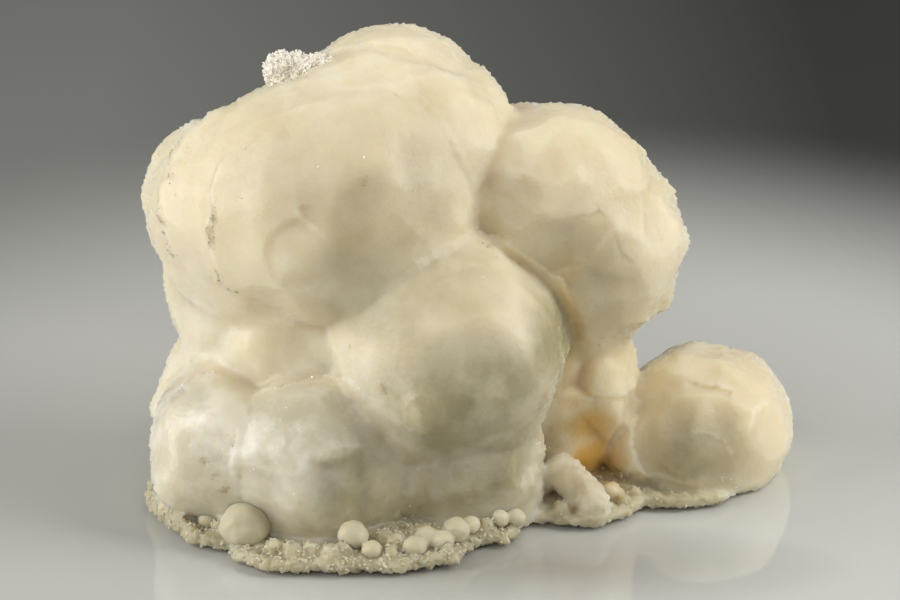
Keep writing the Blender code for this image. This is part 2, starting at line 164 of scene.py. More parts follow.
# Flaked patches: the balls they run over, how soft their edge is, a point and an outline around it, seen
# from the front.
FLAKES = {
    "belly flake": (
        ["belly"], 3.0, (-2.7, -6.2, 26.1),
        [(-11.6, -4.3), (-11.6, 0.2), (-7.5, 2.9), (-1.7, 5.1), (5.5, 4.6), (9.8, 0.7), (12.0, -3.6),
         (11.3, -6.5), (5.8, -8.7), (0.0, -7.2), (-5.8, -7.0)],
    ),
    "single ball flake": (
        ["single ball"], 0.4, (35.3, 11.8, 5.5),
        [(-9.2, 8.4), (-5.8, 9.0), (-2.0, 7.5), (1.6, 7.0), (4.5, 6.1), (5.2, 0.7), (5.8, -2.2),
         (6.7, -4.6), (4.6, -6.4), (-2.9, -7.2), (-8.7, -6.4), (-10.9, -2.9), (-10.1, 2.9)],
    ),
    "right flake": (
        ["right high", "right inner", "right side", "right low"], 0.9, (17.6, 8.8, 33.9),
        [(-17.5, 10.5), (-13.1, 13.7), (-9.5, 13.1), (-7.3, 10.5), (-5.8, 6.9), (-1.5, 6.7), (1.5, 7.9),
         (4.1, 3.9), (5.1, 1.0), (7.3, -0.9), (8.8, -5.3), (7.1, -9.0), (1.5, -11.0), (-4.4, -9.9),
         (-10.2, -4.1), (-14.6, 1.8), (-17.5, 5.4)],
    ),
    "upper flake": (
        ["upper middle"], 3.0, (-17.2, 1.8, 46.0),
        [(-7.6, -1.2), (-5.0, 0.6), (-1.8, 2.9), (0.0, 5.1), (2.9, 3.8), (4.8, 1.0), (7.0, -1.5),
         (12.8, -2.6), (15.6, -3.2), (15.1, -6.3), (11.4, -8.8), (5.5, -12.1), (-1.0, -13.4), (-3.2, -9.9),
         (-2.5, -5.5), (-7.6, -4.8)],
    ),
}

# Broken face of the front middle ball, cut nearly upright in steps, as seen from above.
BREAK_PLAN = [
    (-24.8, -22.6), (-21.5, -20.3), (-17.2, -19.7), (-16.6, -18.3), (-12.6, -17.3), (-12.0, -15.9),
    (-7.0, -13.2),
]
# Its top edge rises from left to right: the left end, the width, and the height at both ends.
BREAK_LEFT, BREAK_WIDTH = -26.0, 20.0
BREAK_HIGH_LEFT, BREAK_HIGH_RIGHT = 14.4, 17.2

# Outline of the crust, from the left tip around the front, the right and the back.
OUTLINE = [
    (-47.7, -6.0), (-45.7, -11.0), (-42.7, -15.0), (-40.7, -18.6), (-38.0, -19.6), (-34.9, -20.4),
    (-33.5, -24.0), (-30.0, -27.0), (-26.7, -28.0), (-22.7, -27.3), (-18.7, -28.2), (-14.7, -27.2),
    (-10.7, -28.0), (-7.2, -26.6), (-1.9, -25.2), (-0.1, -20.2), (2.0, -18.4), (5.2, -18.3),
    (6.7, -16.2), (7.6, -12.6), (9.6, -11.2), (12.0, -11.3), (14.6, -12.6), (18.9, -12.6),
    (21.4, -10.3), (23.4, -8.9), (25.6, -5.6), (28.6, -6.2), (32.5, -6.0), (37.2, -4.4),
    (40.4, -1.0), (43.4, 2.8), (45.2, 6.8), (45.8, 11.2), (45.0, 16.2), (42.8, 20.6),
    (39.2, 24.0), (34.5, 25.6), (29.2, 23.6), (24.0, 21.2), (18.0, 22.6), (11.0, 24.4),
    (5.0, 26.6), (-1.5, 27.4), (-8.5, 25.4), (-15.0, 26.4), (-22.0, 27.2), (-28.5, 24.6), (-34.5, 20.6),
    (-40.5, 18.6), (-44.8, 13.6), (-46.2, 6.2), (-47.6, 0.0),
]
print(len(BALLS), "balls,", len(KNOBS), "knobs,", len(PEARLS), "pearls and", len(GRAINS), "grains")

# %% [markdown]
# ## The camera
# The picture was taken from straight ahead, about 22 degrees above the table, with a long lens. A long
# lens far away keeps the near balls from looking bigger than they are.

# %% The camera
CAMERA_TILT = math.radians(22.0)
CAMERA_DISTANCE = 560.0
VIEW_MIDDLE = np.array([-3.0, 1.8, 30.7])
VIEW_BACK = np.array([0.0, -math.cos(CAMERA_TILT), math.sin(CAMERA_TILT)])
VIEW_UP = np.array([0.0, math.sin(CAMERA_TILT), math.cos(CAMERA_TILT)])
VIEW_PLACE = VIEW_MIDDLE + CAMERA_DISTANCE * VIEW_BACK
FRAME_STEP = 0.146  # millimetres in the front view for one step of the 900 by 600 picture
FOCAL_LENGTH = 153.4

lens = bpy.data.cameras.new("camera")
lens.lens = FOCAL_LENGTH
lens.sensor_width = 36.0
lens.clip_start = 0.01
lens.clip_end = 10.0
camera = bpy.data.objects.new("camera", lens)
bpy.context.scene.collection.objects.link(camera)
camera.location = [float(v) * MM for v in VIEW_PLACE]
camera.rotation_euler = (math.radians(90.0) - CAMERA_TILT, 0.0, 0.0)
bpy.context.scene.camera = camera
print("camera at", [round(v, 3) for v in camera.location])

# %% [markdown]
# ## Small tools
# Noise gives stone its uneven look. Two kinds do nearly all the work here: soft noise, which rolls up and
# down like hills, and cells, which split space into irregular pieces like cracked mud. Both are worked out
# for many points at once, which is much quicker than one point at a time.

# %% Noise for many points at once
def hashed(cell, seed):
    """A number from 0 to 1 for each whole-number cell."""
    n = cell[:, 0] * 73856093 ^ cell[:, 1] * 19349663 ^ cell[:, 2] * 83492791 ^ (seed * 374761393)
    n = (n ^ (n >> 13)) & 0xFFFFFFFF
    n = (n * 1274126177) & 0xFFFFFFFF
    n = n ^ (n >> 16)
    return (n & 0xFFFFFF) / float(0x1000000)


def soft_noise(points, size, seed):
    """Rolling noise from -1 to 1. Size is how far apart the hills are."""
    p = points / size
    base = np.floor(p).astype(np.int64)
    part = p - base
    part = part * part * (3.0 - 2.0 * part)
    total = np.zeros(len(p))
    for corner in np.ndindex(2, 2, 2):
        side = np.array(corner)
        weight = np.prod(np.where(side == 1, part, 1.0 - part), axis=1)
        total += weight * hashed(base + side, seed)
    return total * 2.0 - 1.0


def cells(points, size, seed):
    """Each point's cell: how far its centre is, a number from 0 to 1 for it and the way from its centre."""
    p = points / size
    base = np.floor(p).astype(np.int64)
    near = np.full(len(p), 9.0)
    number = np.zeros(len(p))
    way = np.zeros_like(p)
    for corner in np.ndindex(3, 3, 3):
        cell = base + (np.array(corner) - 1)
        middle = cell + np.stack([hashed(cell, seed + k) for k in range(3)], axis=1)
        gap = p - middle
        reach = np.sqrt((gap * gap).sum(axis=1))
        closer = reach < near
        near = np.where(closer, reach, near)
        number = np.where(closer, hashed(cell, seed + 7), number)
        way = np.where(closer[:, None], gap, way)
    return near * size, number, way * size


def tilted_cells(points, size, seed, tilt, step):
    """Small flat tiles, each leaning its own way and standing a little higher or lower than the next."""
    _, number, way = cells(points, size, seed)
    angle = number * 97.0
    lean = np.stack([np.cos(angle), np.sin(angle), np.cos(angle * 2.7)], axis=1)
    lean /= np.linalg.norm(lean, axis=1, keepdims=True)
    return tilt * (way * lean).sum(axis=1) + step * (np.modf(number * 41.0)[0] - 0.5)


def ramp(x, low, high):
    """0 below low, 1 above high and a smooth rise between."""
    t = np.clip((x - low) / (high - low), 0.0, 1.0)
    return t * t * (3.0 - 2.0 * t)


# %% Meshes from lists of points
def mesh_object(name, points, faces):
    mesh = bpy.data.meshes.new(name)
    mesh.from_pydata([tuple(p) for p in points], [], [tuple(f) for f in faces])
    mesh.update()
    thing = bpy.data.objects.new(name, mesh)
    bpy.context.scene.collection.objects.link(thing)
    return thing


def points_of(thing, what="co"):
    flat = np.empty(len(thing.data.vertices) * 3)
    thing.data.vertices.foreach_get(what, flat)
    return flat.reshape(-1, 3)


def normals_of(thing):
    return points_of(thing, "normal")


def move_points(thing, points):
    thing.data.vertices.foreach_set("co", points.ravel())
    thing.data.update()


def keep_number(thing, name, values):
    """Stores one number a point, which a material can read by that name."""
    layer = thing.data.attributes.new(name, "FLOAT", "POINT")
    layer.data.foreach_set("value", np.asarray(values, dtype=np.float32))


def stored(thing, name):
    """The numbers that keep_number stored."""
    values = np.empty(len(thing.data.vertices), dtype=np.float32)
    thing.data.attributes[name].data.foreach_get("value", values)
    return values


def settle(thing):
    """Turns an object's modifiers into its own plain mesh."""
    graph = bpy.context.evaluated_depsgraph_get()
    graph.update()
    shaped = bpy.data.meshes.new_from_object(thing.evaluated_get(graph))
    thing.modifiers.clear()
    old = thing.data
    thing.data = shaped
    bpy.data.meshes.remove(old)
    return thing


def wrapped(thing, step, smooth_rounds):
    """One closed skin around everything in a mesh, with its creases softened a little."""
    skin = thing.modifiers.new("skin", "REMESH")
    skin.mode = "VOXEL"
    skin.voxel_size = step
    skin.adaptivity = 0.0
    soften = thing.modifiers.new("soften", "SMOOTH")
    soften.factor = 0.5
    soften.iterations = smooth_rounds
    return settle(thing)


def triangles(thing):
    return sum(len(p.vertices) - 2 for p in thing.data.polygons)


# %% [markdown]
# ## The skin of a ball
# A ball of blades isn't quite round. Its skin is made of patches where the blades all point nearly the
# same way, so each patch is a little flatter than the ball and meets the next at a soft ridge. Here every
# direction out of the centre belongs to the patch whose axis it is closest to.

# %% A ball with flattened patches
DOMAIN_SIZE = 7.0
DOMAIN_FLATNESS = 0.7
DOMAIN_STEP = 0.16
LUMP_HEIGHT = 0.028


def round_mesh(steps):
    bm = bmesh.new()
    bmesh.ops.create_icosphere(bm, subdivisions=steps, radius=1.0)
    bm.verts.ensure_lookup_table()
    points = np.array([v.co[:] for v in bm.verts])
    points /= np.linalg.norm(points, axis=1, keepdims=True)
    faces = np.array([[v.index for v in f.verts] for f in bm.faces])
    bm.free()
    return points, faces


ROUND = {3: round_mesh(3), 4: round_mesh(4), 5: round_mesh(5)}


def ball_points(centre, half, seed, steps=4):
    """The points and faces of one ball."""
    dice = random.Random(seed)
    size = sum(half) / 3.0
    patch = min(DOMAIN_SIZE, 0.8 * size)
    step_height = DOMAIN_STEP * patch / DOMAIN_SIZE
    axes = []
    heights = []
    for _ in range(int(4.0 * math.pi * size * size / patch ** 2)):
        axes.append(Vector((dice.gauss(0, 1), dice.gauss(0, 1), dice.gauss(0, 1))).normalized()[:])
        heights.append(dice.uniform(-step_height, step_height))
    low = math.cos(0.5 * patch / size)
    shift = Vector((dice.uniform(-50, 50), dice.uniform(-50, 50), dice.uniform(-50, 50)))
    directions, faces = ROUND[steps]
    near = directions @ np.array(axes).T
    best = near.argmax(axis=1)
    plane = low / np.maximum(near.max(axis=1), 0.6)
    reach = 1.0 + DOMAIN_FLATNESS * (np.minimum(plane, 1.03) - 1.0) + np.array(heights)[best] / size
    reach += LUMP_HEIGHT * np.array([noise.noise(Vector(u) * 1.9 + shift) for u in directions])
    return np.array(centre) + directions * reach[:, None] * np.array(half), faces


def together(parts):
    """Several sets of points and faces as one."""
    points = []
    faces = []
    start = 0
    for some, corners in parts:
        points.append(some)
        faces.append(np.asarray(corners) + start)
        start += len(some)
    return np.concatenate(points), np.concatenate(faces)


# %% [markdown]
# ## The broken face
# The ball at the front has lost its lower front in upright steps. Its points are pushed back to a stepped
# line before the skin is wrapped around everything, so the break has real edges that catch the light.

# %% Push the front middle ball back to its broken face
def broken(points):
    across, depth = np.array(BREAK_PLAN).T
    line = np.interp(points[:, 0], across, depth, left=-40.0, right=-40.0)
    share = (points[:, 0] - BREAK_LEFT) / BREAK_WIDTH
    high = BREAK_HIGH_LEFT + share * (BREAK_HIGH_RIGHT - BREAK_HIGH_LEFT)
    cut = (points[:, 2] < high) & (points[:, 1] < line)
    moved = points.copy()
    moved[cut, 1] = line[cut]
    return moved


# %% [markdown]
# ## The crust
# Below the balls is a thin crust of grains whose broken rim shows at the front. Its outline is drawn from
# above. Rings of points follow the outline inwards and up, like the contour lines of a low hill.

# %% The crust plate
# Each ring: how far it lies inside the outline, its height and what the raised left end adds to that.
RINGS = [
    (3.2, 0.0, 0.0), (3.0, 0.25, 0.0), (0.0, 0.9, 0.5),
    (0.2, 2.0, 1.3), (1.0, 2.6, 1.5), (2.0, 2.2, 0.0),
]


def ring_offset(points, inset):
    moved = []
    for i, (x, y) in enumerate(points):
        ax, ay = points[i - 1]
        bx, by = points[(i + 1) % len(points)]
        along = Vector((bx - ax, by - ay)).normalized()
        moved.append((x - along.y * inset, y + along.x * inset))
    return moved


def closer_outline(points, step):
    found = []
    for i, (x, y) in enumerate(points):
        ax, ay = points[(i + 1) % len(points)]
        pieces = max(1, round(math.hypot(ax - x, ay - y) / step))
        for k in range(pieces):
            found.append((x + (ax - x) * k / pieces, y + (ay - y) * k / pieces))
    return found


def crust_plate():
    outline = closer_outline(OUTLINE, 1.0)
    count = len(outline)
    flat = np.array(outline)
    left = np.clip((-36.0 - flat[:, 0]) / 8.0, 0, 1) * np.clip((4.0 - flat[:, 1]) / 6.0, 0, 1)
    points = []
    for inset, height, more in RINGS:
        points += [(x, y, z) for (x, y), z in zip(ring_offset(outline, inset), height + more * left)]
    low, high = len(points), len(points) + 1
    points += [(-5.0, 0.0, 0.0), (-5.0, 0.0, 2.2)]
    last = (len(RINGS) - 1) * count
    faces = []
    for r in range(len(RINGS) - 1):
        for i in range(count):
            j = (i + 1) % count
            a, b, c, d = r * count + i, r * count + j, (r + 1) * count + j, (r + 1) * count + i
            faces += [(a, b, c), (a, c, d)]
    for i in range(count):
        j = (i + 1) % count
        faces += [(low, j, i), (high, last + i, last + j)]
    return np.array(points), np.array(faces)


# %% [markdown]
# ## One skin over all the balls
# Thirty overlapping balls have faces hidden inside each other, and light that travels through stone would
# stop at them. A voxel remesh wraps a single skin around the whole group, the way shrink film would. Where
# two balls meet, the skin is first lifted a little, so that the valley between them is soft. The crust, the
# stub and the larger grains are then added, and a second, finer skin goes around everything.

# %% Valleys between the balls
# How far apart two surfaces may be and still be filled between, for balls, for knobs and where two groups
# of balls meet. No valley is filled deeper than DEEPEST_FILL.
VALLEY = 7.5
KNOB_VALLEY = 4.8
GROUP_VALLEY = {"right": 5.0, "stem": 3.0, "front": 4.5, "single": 1.2}
DEEPEST_FILL = 3.8
GROUP_OF = {name: group for group, names in {
    "right": ("right high", "right inner", "right side", "right low", "back right"),
    "stem": ("right stem", "below stem", "stem left"),
    "front": ("front left", "front middle", "between feet", "left bud"),
    "single": ("single ball",),
}.items() for name in names}


def smooth_least(a, b, reach):
    """The lesser of two distances, rounded off where the two are within reach of each other."""
    near = np.maximum(reach - np.abs(a - b), 0.0) / reach
    return np.minimum(a, b) - near * near * reach * 0.25


def ball_gap(points, name):
    """About how far outside a ball each point is."""
    centre, half = BALLS.get(name) or KNOBS[name]
    return (np.linalg.norm((points - np.array(centre)) / np.array(half), axis=1) - 1.0) * (sum(half) / 3.0)


def valley_fill(points, names):
    """For each point: how far to lift it, how close the next group is and how far off all the balls it is."""
    groups = {}
    hard = np.full(len(points), 1e9)
    for name in names:
        gap = ball_gap(points, name)
        hard = np.minimum(hard, gap)
        group = GROUP_OF.get(name, "body")
        reach = KNOB_VALLEY if name in KNOBS else VALLEY
        groups[group] = smooth_least(groups[group], gap, reach) if group in groups else gap
    distances = np.sort(np.stack(list(groups.values())), axis=0)
    soft = groups.pop("body")
    for group, gap in groups.items():
        soft = smooth_least(soft, gap, GROUP_VALLEY[group])
    less_behind = 1.0 - 0.7 * ramp(points[:, 1], 3.0, 9.0)
    fill = np.clip(hard - soft, 0.0, DEEPEST_FILL) * less_behind
    return fill * (1.0 - ramp(hard, 0.6, 1.6)), distances[1] - distances[0], hard


# %% Wrap the ball group
FIRST_STEP = 0.7
SKIN_STEP = 0.37
BALLS_PER_JOINT = 17
STUB = ("stub root", "stub middle", "stub end", "stub lump")
LINK = ((27.4, 8.0, 4.6), (7.4, 9.6, 7.4))  # joins the single ball to the stem, low down

parts = [ball_points(*LINK, 190, 4)]
for index, (name, (centre, half)) in enumerate(BALLS.items()):
    made = ball_points(centre, half, 100 + index, 5 if name == "front middle" else 4)
    if name == "front middle":
        made = (broken(made[0]), made[1])
    parts.append(made)
for index, (name, (centre, half)) in enumerate(KNOBS.items()):
    if name not in STUB:
        parts.append(ball_points(centre, half, 200 + index, 3))
mass = wrapped(mesh_object("ball_mass", *together(parts)), FIRST_STEP, 2)
print("balls alone", triangles(mass), "triangles")
ball_names = list(BALLS) + [n for n in KNOBS if n not in STUB]
points = points_of(mass)
points += normals_of(mass) * valley_fill(points, ball_names)[0][:, None]
points[:, 2] = np.maximum(points[:, 2], 0.0)

# %% Add the crust, the stub and the larger grains, and wrap everything
def along_stub(count):
    """Centres and half widths of balls along the stub, as many for each of its two joints as count says."""
    finger = [np.array(KNOBS[name]) for name in STUB[:3]]
    for a, b in zip(finger, finger[1:]):
        for share in np.linspace(0.0, 1.0, count):
            yield (1.0 - share) * a + share * b


faces = np.array([p.vertices[:] for p in mass.data.polygons])
quads = np.concatenate([faces[:, [0, 1, 2]], faces[:, [0, 2, 3]]])
parts = [(points, quads), crust_plate()]
for centre, half in along_stub(BALLS_PER_JOINT):
    parts.append((centre + ROUND[3][0] * half, ROUND[3][1]))
parts.append(ball_points(*KNOBS["stub lump"], 250, 3))
for number, (centre, size) in enumerate(GRAINS):
    parts.append(ball_points(centre, (size, size, size), 600 + number, 3))
bpy.data.objects.remove(mass, do_unlink=True)
mass = wrapped(mesh_object("ball_mass", *together(parts)), SKIN_STEP, 4)
print("ball mass", triangles(mass), "triangles")

# %% [markdown]
# ## Torn patches, ledges and scales
# Seen close, the skin is a stack of thin shells. In places a shell has flaked away and leaves a ragged
# edge half a millimetre high, with a darker, clearer shell below. The outlines of those patches are drawn
# as seen from the front, and each point of the skin is then looked up in that drawing.

# %% Where a point shows in the front view
def in_view(points):
    """Each point's place in the front view, in millimetres across and up from its middle."""
    offset = points - VIEW_PLACE
    away = -(offset @ VIEW_BACK)
    return np.stack([offset[:, 0], offset @ VIEW_UP], axis=1) * (CAMERA_DISTANCE / away)[:, None]


def legs(flat, corners):
    """Each leg of a line, with how far along it is closest to each point and the gap from there."""
    for a, b in zip(corners, corners[1:]):
        side = b - a
        along = np.clip(((flat - a) @ side) / (side @ side), 0.0, 1.0)
        yield a, b, along, flat - a - along[:, None] * side


def inside_by(flat, outline):
    """How far inside an outline each point of a drawing is, negative outside."""
    within = np.zeros(len(flat), dtype=bool)
    nearest = np.full(len(flat), 1e9)
    for a, b, _, gap in legs(flat, np.array([*outline, outline[0]])):
        side = b - a
        nearest = np.minimum(nearest, np.linalg.norm(gap, axis=1))
        spans = (a[1] > flat[:, 1]) != (b[1] > flat[:, 1])
        rise = np.where(spans, (flat[:, 1] - a[1]) / (side[1] if side[1] else 1e-9), 0.0)
        within ^= spans & (flat[:, 0] < a[0] + rise * side[0])
    return np.where(within, nearest, -nearest)


def from_picture(places):
    """Places across and down the 900 by 600 picture, as millimetres in the front view."""
    return (np.array(places, dtype=float) - (450, 300)) * (FRAME_STEP, -FRAME_STEP)


def beside(flat, line):
    """Signed distance to a line drawn in the picture, positive on its left, and the way along it, 0 to 1."""
    corners = from_picture(line)
    nearest, signed = np.full((2, len(flat)), 1e9)
    along_all = np.zeros(len(flat))
    total = np.linalg.norm(np.diff(corners, axis=0), axis=1).sum()
    done = 0.0
    for a, b, along, gap in legs(flat, corners):
        side = b - a
        length = np.linalg.norm(side)
        reach = np.linalg.norm(gap, axis=1)
        turn = np.sign(side[0] * gap[:, 1] - side[1] * gap[:, 0])
        closer = reach < nearest
        nearest = np.where(closer, reach, nearest)
        signed = np.where(closer, reach * turn, signed)
        along_all = np.where(closer, (done + along * length) / total, along_all)
        done += length
    return signed, along_all


def strokes(flat, lines, width, fade):
    """1 on lines drawn in the picture and 0 beside them. Fade is what becomes of their ends."""
    found = np.zeros(len(flat))
    for line in lines:
        side, along = beside(flat, line)
        found = np.maximum(found, np.exp(-(side / width) ** 2) * fade(along))
    return found


def dots(flat, places, width):
    """1 on dots drawn in the picture and 0 around them."""
    found = np.zeros(len(flat))
    for x, y in from_picture(places):
        found = np.maximum(found, np.exp(-(np.hypot(flat[:, 0] - x, flat[:, 1] - y) / width) ** 2))
    return found


# %% What is drawn in the front view
# Ledges: the line across and down the picture, the height and how far it takes to fade on its left.
LEDGES = {
    "left arc": (
        [(200, 112), (185, 130), (170, 160), (163, 190), (162, 223), (168, 248), (178, 268)], 0.8, 3.0),
    "left line": (
        [(226, 150), (214, 178), (212, 202), (207, 230), (209, 252), (221, 281), (240, 300)], 0.6, 2.5),
    "top arc": ([(321, 59), (340, 50), (370, 45), (400, 47), (419, 60)], 0.5, 3.0),
    "top line": ([(318, 86), (360, 89), (400, 86), (440, 74)], 0.2, 3.0),
    "lower cut": ([(215, 460), (250, 466), (290, 475), (318, 470), (325, 450), (372, 447)], 0.12, 3.0),
    "stem edge": ([(586, 390), (604, 396), (624, 396), (640, 384)], 0.8, 4.0),
    "left rim": ([(236, 378), (215, 374), (200, 377), (181, 389)], 0.35, 1.5),
    "middle rim": ([(358, 386), (345, 378), (325, 375), (300, 381), (264, 390)], 0.35, 1.5),
    "recess": ([(690, 438), (700, 431), (712, 433), (724, 440), (731, 460)], 0.3, 3.0),
}

# The sunken band between the belly and the balls on the right.
BAND = [
    (498, 250), (514, 266), (530, 285), (542, 303), (551, 323), (558, 345), (562, 365), (562, 392),
    (590, 395), (589, 365), (588, 340), (574, 312), (558, 288), (545, 272), (522, 256),
]

# Thin dark crumbly lines and specks.
MARKS = [
    [(185, 130), (168, 170), (162, 205), (166, 240), (177, 265)],
    [(214, 201), (208, 250), (221, 281), (239, 299)],
    [(205, 446), (222, 440), (236, 441)], [(203, 462), (224, 455), (240, 457)],
    [(210, 478), (228, 470), (244, 473)], [(215, 492), (236, 487)],
    [(380, 385), (386, 398)], [(460, 225), (480, 238), (500, 250), (520, 268)],
]
SPECKS = [(173, 178), (236, 195), (362, 180), (342, 242), (599, 205)]

# Bright broken rims and single sparkles, painted as glints with near-white chips.
ARCS = [LEDGES["left rim"][0], LEDGES["middle rim"][0], [(345, 375), (354, 379), (362, 388)]]
SPARKLES = [
    (323, 161), (366, 156), (357, 118), (435, 206), (275, 425), (287, 405), (297, 428), (543, 442),
    (541, 446), (250, 467), (725, 480), (738, 487), (508, 470), (515, 485), (228, 452), (310, 452),
    (420, 470), (330, 90), (660, 300), (668, 286),
]

# %% Shape the skin
FLAKE_DEPTH = 0.6
BAND_DEPTH = 1.5
FACET_SIZE = 6.4
FACET_WIDTH = 28.0  # the larger, the lower the ridges
FACET_MEAN = 0.66  # keeps the ball the same size on average


def two_noises(points, size, seed):
    return np.stack([soft_noise(points, size, seed), soft_noise(points, size, seed + 1)], axis=1)


def stub_share(points):
    """1 along the stub that leans forward, 0 away from it."""
    found = np.zeros(len(points))
    for centre, half in along_stub(7):
        found = np.maximum(found, 1.0 - ramp(np.linalg.norm((points - centre) / half, axis=1), 1.02, 1.3))
    return found


def shaped(thing, names, seed):
    """Presses patches, ledges and scales into a skin and stores what the material needs."""
    points = points_of(thing)
    normals = normals_of(thing)
    owner = np.argmin([ball_gap(points, name) for name in names], axis=0)
    _, crease_shade, off = valley_fill(points, names)
    stub = stub_share(points)
    crusty = ramp(off, 0.4, 1.2) * (1.0 - stub) * (1.0 - ramp(points[:, 2], 3.0, 5.5))
    flat = in_view(points)
    facing = normals @ VIEW_BACK
    ragged = two_noises(points, 1.7, seed) * 0.55 + two_noises(points, 0.7, seed + 2) * 0.25
    push, flaked, edge_highlight = np.zeros((3, len(points)))

    # Flaked patches lie lower, with a torn edge that is crisp in places, paler and brightened by a painted
    # highlight.
    for balls, softness, origin, outline in FLAKES.values():
        mine = np.isin(owner, [names.index(b) for b in balls if b in names]) & (facing > -0.1)
        middle = in_view(np.array([origin]))[0]
        deep = inside_by(flat[mine] + ragged[mine], [(x + middle[0], y + middle[1]) for x, y in outline])
        sharp = 0.08 + 0.92 * ramp(soft_noise(points[mine], 6.0, seed + 9) - 0.15 * softness, -0.3, 0.3)
        push[mine] -= (FLAKE_DEPTH - 0.13 * softness) * sharp * ramp(deep, -0.15, 0.25)
        worn = deep + 0.7 * softness * soft_noise(points[mine], 4.5, seed + 12)
        flaked[mine] = np.maximum(flaked[mine], ramp(worn, -0.5 * softness, softness))
        edge_highlight[mine] = np.maximum(edge_highlight[mine], 0.6 * sharp ** 2 * np.exp(-((deep + 0.35) / 0.4) ** 2))

    # Ledges rise sharply on one side and fade away on the other, and their edges get a painted highlight.
    for line, height, fade in LEDGES.values():
        side, along = beside(flat + ragged * 0.7, line)
        taper = ramp(along, 0.0, 0.12) * ramp(1.0 - along, 0.0, 0.12) * ramp(facing, -0.05, 0.25)
        rise = np.exp(-np.maximum(side, 0.0) / fade) * ramp(side, -0.15, 0.15)
        push += 0.6 * height * rise * taper
        edge_highlight = np.maximum(edge_highlight, 0.7 * taper * np.exp(-((side - 0.2) / 0.3) ** 2))

    # The band sinks, and low hollows in irregular cells leave ridges between them, like facets.
    sunk = inside_by(flat, from_picture(BAND))
    points = points - VIEW_BACK * (BAND_DEPTH * ramp(sunk, -0.8, 1.4) * ramp(facing, 0.0, 0.3))[:, None]
    reach = cells(points + 0.6 * ragged[:, [0, 1, 0]], FACET_SIZE, seed + 20)[0]
    right = 1.0 + 0.2 * ramp(points[:, 0], 2.0, 6.0)
    uneven = 0.35 + 0.65 * ramp(soft_noise(points, 9.0, seed + 21), -0.3, 0.4)
    left = 0.55 + 0.45 * ramp(points[:, 0], -14.0, 0.0)
    push += (reach ** 2 / FACET_WIDTH - FACET_MEAN) * right * uneven * left

    # Broken dark lines, and the places of the painted glints.
    marks = strokes(flat + ragged * 1.3, MARKS, 0.32,
                    lambda along: ramp(along, 0.0, 0.05) * ramp(1.0 - along, 0.0, 0.05))
    marks *= ramp(soft_noise(points, 1.1, seed + 60), -0.05, 0.2)
    marks = np.maximum(marks, dots(flat, SPECKS, 0.3)) * ramp(facing, 0.0, 0.2)
    glints = strokes(flat + ragged * 0.5, ARCS, 0.25, lambda along: (along > 0.01) & (along < 0.99))
    glints = np.maximum(glints, dots(flat, SPARKLES, 0.4)) * ramp(facing, 0.0, 0.2)

    # Scales where the skin turns away, coarse grain on the crust and less of it on the stub.
    rim = 1.0 - ramp(facing, 0.15, 0.6)
    scales = tilted_cells(points + ragged[:, [0, 1, 0]] * 0.3, 1.2, seed + 30, 0.12, 0.10)
    push += scales * (0.03 + 1.1 * rim)
    grain = tilted_cells(points, 1.3, 401, 0.3, 0.3) + tilted_cells(points, 0.7, 431, 0.2, 0.15)
    rough = (1.0 - 0.3 * ramp(points[:, 0], 3.0, 9.0)) * ramp(points[:, 2], 0.1, 0.7)
    push = push * (1.0 - crusty) * (1.0 - stub) + grain * rough * np.maximum(crusty, 0.75 * stub)
    points = points + normals * push[:, None]
    points[:, 2] = np.maximum(points[:, 2], 0.0)
    move_points(thing, points)
    # Painted shade in the creases: strongest where two groups of balls meet, none on the crust.
    crease_shade = np.exp(-np.maximum(crease_shade, 0.0) / 1.6) * (1.0 - crusty)
    found = {
        "flaked": flaked, "crust": crusty, "stub": stub, "torn_edge_and_highlight": edge_highlight, "marks": marks, "glints": glints,
        "crease_shade": crease_shade,
    }
    for name, values in found.items():
        keep_number(thing, name, values)


shaped(mass, ball_names, 11)
print("flaked points", int((stored(mass, "flaked") > 0.5).sum()), "of", len(mass.data.vertices))

# %% Clear places with painted shade, cool places and amber painted shade in the gap
# Soft ovals in the picture, each with its middle, half width, half height and strength.
# Clearer, darker stone, and painted shade where shade falls: under the overhanging balls, on the belly's
# middle and in the band.
CLEAR_AND_SHADE_SPOTS = [
    (470, 400, 100, 76, 0.93), (365, 495, 70, 60, 0.82), (494, 478, 66, 52, 0.86), (225, 480, 80, 50, 0.3),
    (300, 430, 95, 60, 0.3), (358, 215, 34, 60, 0.5), (372, 262, 60, 38, 0.5), (575, 275, 60, 65, 0.5),
    (700, 455, 50, 38, 0.8), (450, 285, 80, 45, 0.5), (385, 315, 60, 45, 0.5), (545, 370, 28, 70, 0.6),
    (300, 185, 70, 70, 0.3), (420, 190, 46, 80, 0.45), (340, 120, 80, 40, 0.2), (556, 338, 28, 66, 0.95),
    (588, 424, 32, 26, 0.85),
]
COOL_SPOTS = [
    (185, 335, 50, 90, 0.5), (188, 402, 45, 36, 1.0), (150, 215, 34, 80, 0.25), (423, 409, 9, 14, 1.0),
    (190, 445, 85, 85, 0.85), (310, 445, 105, 85, 1.0), (470, 480, 90, 70, 0.9), (500, 400, 80, 60, 0.5),
    (345, 520, 90, 50, 0.6),
]
# Amber painted shade in the gap between the stem, the stub and the single ball, and in the band.
GAP_SHADE_SPOTS = [
    (600, 460, 26, 20, 1.0), (588, 430, 28, 24, 0.6), (620, 462, 12, 24, 0.35), (562, 325, 20, 60, 0.4),
    (575, 385, 14, 40, 0.3),
]


